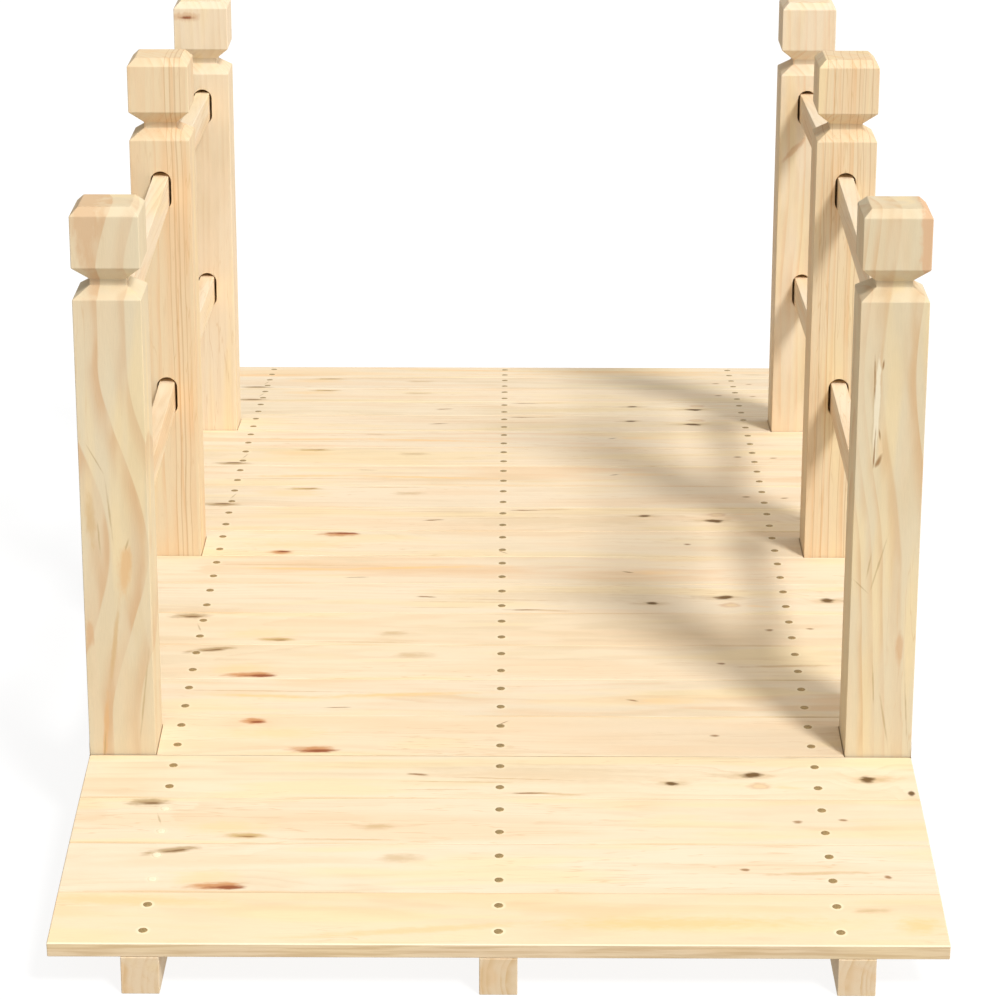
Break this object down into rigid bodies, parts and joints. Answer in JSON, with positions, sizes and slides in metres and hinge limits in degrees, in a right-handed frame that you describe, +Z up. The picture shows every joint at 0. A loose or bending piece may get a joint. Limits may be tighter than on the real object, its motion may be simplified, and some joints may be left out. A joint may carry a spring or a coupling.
{
  "type": "wooden garden footbridge",
  "caption": "Low arched garden footbridge of pale softwood: cross boards nailed to stringers, capped square posts and slotted-in handrails along both sides.",
  "frame": {"origin": "on the ground, under the middle of the bridge, at the centre of its footprint", "axes": "+Y along the bridge, from its near end to its far end; +X across the deck, to the right for someone walking along +Y; +Z up"},
  "size_m": [0.67, 1.499, 0.56],
  "materials": {
    "deck_wood": "planed softwood, untreated, satin",
    "stringer_wood": "planed softwood, untreated, satin",
    "post_wood": "planed softwood, untreated, satin",
    "rail_wood": "planed softwood, untreated, satin",
    "nail_steel": "dull galvanised steel, weathered"
  },
  "bodies": {
    "root": {"deck_board_01": "deck_wood", "deck_board_02": "deck_wood", "deck_board_03": "deck_wood", "deck_board_04": "deck_wood", "deck_board_05": "deck_wood", "deck_board_06": "deck_wood", "deck_board_07": "deck_wood", "deck_board_08": "deck_wood", "deck_board_09": "deck_wood", "deck_board_10": "deck_wood", "deck_board_11": "deck_wood", "deck_board_12": "deck_wood", "deck_board_13": "deck_wood", "deck_board_14": "deck_wood", "deck_board_15": "deck_wood", "deck_board_16": "deck_wood", "deck_board_17": "deck_wood", "deck_board_18": "deck_wood", "deck_board_19": "deck_wood", "deck_board_20": "deck_wood", "deck_board_21": "deck_wood", "stringer_left": "stringer_wood", "stringer_centre": "stringer_wood", "stringer_right": "stringer_wood", "post_left_near": "post_wood", "post_left_middle": "post_wood", "post_left_far": "post_wood", "post_right_near": "post_wood", "post_right_middle": "post_wood", "post_right_far": "post_wood", "rail_left_lower_near": "rail_wood", "rail_left_lower_far": "rail_wood", "rail_left_upper_near": "rail_wood", "rail_left_upper_far": "rail_wood", "rail_right_lower_near": "rail_wood", "rail_right_lower_far": "rail_wood", "rail_right_upper_near": "rail_wood", "rail_right_upper_far": "rail_wood"}
  },
  "joints": []
}
